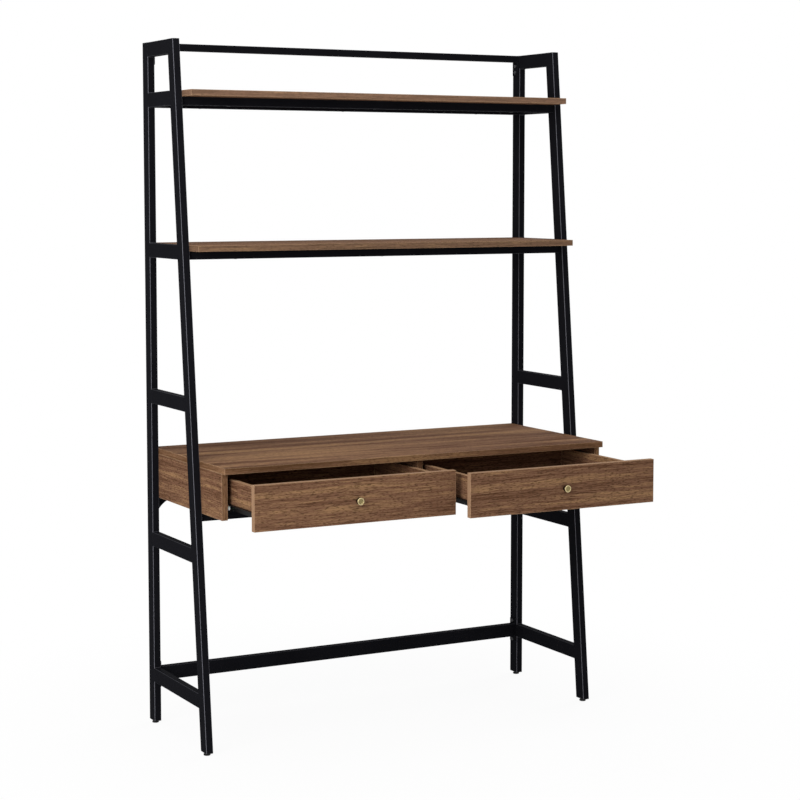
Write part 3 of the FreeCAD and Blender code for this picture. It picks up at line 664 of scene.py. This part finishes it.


# The rim is paler than the sunk face: rubbed brass, with a painted highlight on the rim.
rim_brass = antique_brass("antique_brass_rim", "#c6b488")
sunk_brass = antique_brass("antique_brass_sunk_face", "#877a54")
for side in SIDES:
    low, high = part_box(f"{side}_drawer_knob")
    face, inside = (corner.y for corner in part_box(f"{side}_drawer_front"))
    across, up = (low.x + high.x) / 2, (low.z + high.z) / 2
    radius, reach = (high.x - low.x) / 2, face - low.y
    neck, dish = reach - KNOB_HEAD, radius - KNOB_LIP
    profile = [(AXIS_DOT, 0), (KNOB_STEM, 0), (KNOB_STEM, neck)]
    profile += rounded((radius - KNOB_ROUND, neck + KNOB_ROUND), KNOB_ROUND, -90, 0)
    profile += rounded((radius - KNOB_ROUND, reach - KNOB_ROUND), KNOB_ROUND, 0, 90)
    profile += rounded((dish - KNOB_DISH, reach), KNOB_DISH, 0, -90)
    profile += [(AXIS_DOT, reach - KNOB_DISH)]
    knob = bmesh.new()
    turned(knob, profile, Vector((across, face, up)), TO_FRONT)
    for part in knob.faces:
        middle = part.calc_center_median() - Vector((across, low.y, up))
        in_dish = math.hypot(middle.x, middle.z) < dish and middle.y < KNOB_DISH_REACH
        part.material_index = 1 if in_dish else 0
    piece = put(f"{side}_turned_knob", knob, [rim_brass, sunk_brass], f"{side}_drawer")
    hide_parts(f"{side}_drawer_knob")

    low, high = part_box(f"{side}_knob_screw")
    spot, length = Vector(((low.x + high.x) / 2, inside, (low.z + high.z) / 2)), inside - low.y
    shank = [(AXIS_DOT, 0), (KNOB_SCREW_RADIUS, 0), (KNOB_SCREW_RADIUS, length), (AXIS_DOT, length)]
    screw = bmesh.new()
    add_head(screw, spot, TO_REAR, KNOB_SCREW, cross)
    turned(screw, shank, spot, TO_FRONT)
    piece = put(f"{side}_knob_machine_screw", screw, [bright_zinc], f"{side}_drawer")
    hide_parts(f"{side}_knob_screw")

# Floor and backdrop
# A studio's sweep of matt white paper. It is lit so evenly that it looks pure white, apart from a faint
# shadow on the floor that fades with the distance from the desk.
FLOOR_HALF = 30.0
SHADOW_NEAR = 0.5
SHADOW_FAR = 1.6
WHITE_SHARE_NEAR = 0.94
STUDIO_GLOW = 0.42
WHITE = (1, 1, 1, 1)


def seen_by_eye(tree):
    """1 for rays from the camera, and for those that it sees in a mirror or through glass."""
    ray = add_node(tree, "LightPath")
    seen = ray.outputs["Is Camera Ray"]
    for other in ("Is Glossy Ray", "Is Transmission Ray"):
        seen = add_node(tree, "Math", {0: seen, 1: ray.outputs[other]}, operation="MAXIMUM").outputs[0]
    return seen


floor_mesh = bpy.data.meshes.new("studio_floor")
floor_corners = [(x * FLOOR_HALF, y * FLOOR_HALF, 0) for x, y in ((-1, -1), (1, -1), (1, 1), (-1, 1))]
floor_mesh.from_pydata(floor_corners, [], [(0, 1, 2, 3)])
floor = bpy.data.objects.new("studio_floor", floor_mesh)
bpy.context.scene.collection.objects.link(floor)

paper = bpy.data.materials.new("white_paper_sweep")
paper.use_nodes = True
tree = paper.node_tree
tree.nodes.remove(tree.nodes["Principled BSDF"])
place = add_node(tree, "TexCoord").outputs["Object"]
distance = add_node(tree, "VectorMath", {0: place}, operation="LENGTH")
fade = add_node(tree, "MapRange", {
    "Value": distance.outputs["Value"], "From Min": SHADOW_NEAR, "From Max": SHADOW_FAR,
    "To Min": WHITE_SHARE_NEAR, "To Max": 1.0,
}, interpolation_type="SMOOTHSTEP")
share = add_node(tree, "Math", {0: seen_by_eye(tree), 1: fade.outputs["Result"]}, operation="MULTIPLY")
matt = add_node(tree, "BsdfDiffuse", {"Color": linear("#e8e8e8")})
white = add_node(tree, "Emission", {"Color": WHITE, "Strength": 1.0})
mixed = add_node(tree, "MixShader", {0: share.outputs[0], 1: matt.outputs[0], 2: white.outputs[0]})
tree.links.new(mixed.outputs[0], tree.nodes["Material Output"].inputs["Surface"])
floor_mesh.materials.append(paper)

world = bpy.data.worlds.new("studio")
world.use_nodes = True
bpy.context.scene.world = world
tree = world.node_tree
glow = tree.nodes["Background"]
glow.inputs["Color"].default_value = WHITE
glow.inputs["Strength"].default_value = STUDIO_GLOW
backdrop = add_node(tree, "Background", {"Color": WHITE, "Strength": 1.0})
both = add_node(tree, "MixShader", {0: seen_by_eye(tree), 1: glow.outputs[0], 2: backdrop.outputs[0]})
tree.links.new(both.outputs[0], tree.nodes["World Output"].inputs["Surface"])

# Lamps
# Three square soft boxes that look at the middle of the desk: one at its front left, one above its
# front, and a fill behind its right side, for what the photograph doesn't show.
LAMP_AIM = Vector((0, 0, 0.85))


def add_lamp(name, at, size, power):
    """A soft box. Its place and its size are in metres, and its power in watts."""
    lamp = bpy.data.lights.new(name, "AREA")
    lamp.size = size
    lamp.energy = power
    soft_box = bpy.data.objects.new(name, lamp)
    soft_box.location = at
    soft_box.rotation_euler = (LAMP_AIM - Vector(at)).to_track_quat("-Z", "Y").to_euler()
    bpy.context.scene.collection.objects.link(soft_box)


add_lamp("left_soft_box", (-3.5, -1.8, 2.0), 2.4, 100)
add_lamp("top_soft_box", (-0.6, -1.4, 4.2), 2.6, 56)
add_lamp("right_soft_box", (3.6, 1.6, 1.8), 2.4, 80)

# Camera
# It stands in front of the desk and to its left, where the photograph was taken from, and looks slightly
# down. Its place, angles and lens were fitted to the photograph.
CAMERA_PLACE = (-2.5149, -4.6516, 1.4521)
CAMERA_DOWN_DEGREES = 4.976
CAMERA_RIGHT_DEGREES = 28.306
CAMERA_LENS = 89.87
CAMERA_SENSOR = 36.0
CAMERA_SHIFT = -0.05
camera = bpy.data.cameras.new("camera")
camera.lens = CAMERA_LENS
camera.sensor_width = CAMERA_SENSOR
camera.shift_y = CAMERA_SHIFT
eye = bpy.data.objects.new("camera", camera)
eye.location = CAMERA_PLACE
eye.rotation_euler = (math.radians(90 - CAMERA_DOWN_DEGREES), 0, math.radians(-CAMERA_RIGHT_DEGREES))
bpy.context.scene.collection.objects.link(eye)
bpy.context.scene.camera = eye
bpy.context.scene.view_settings.view_transform = "Standard"
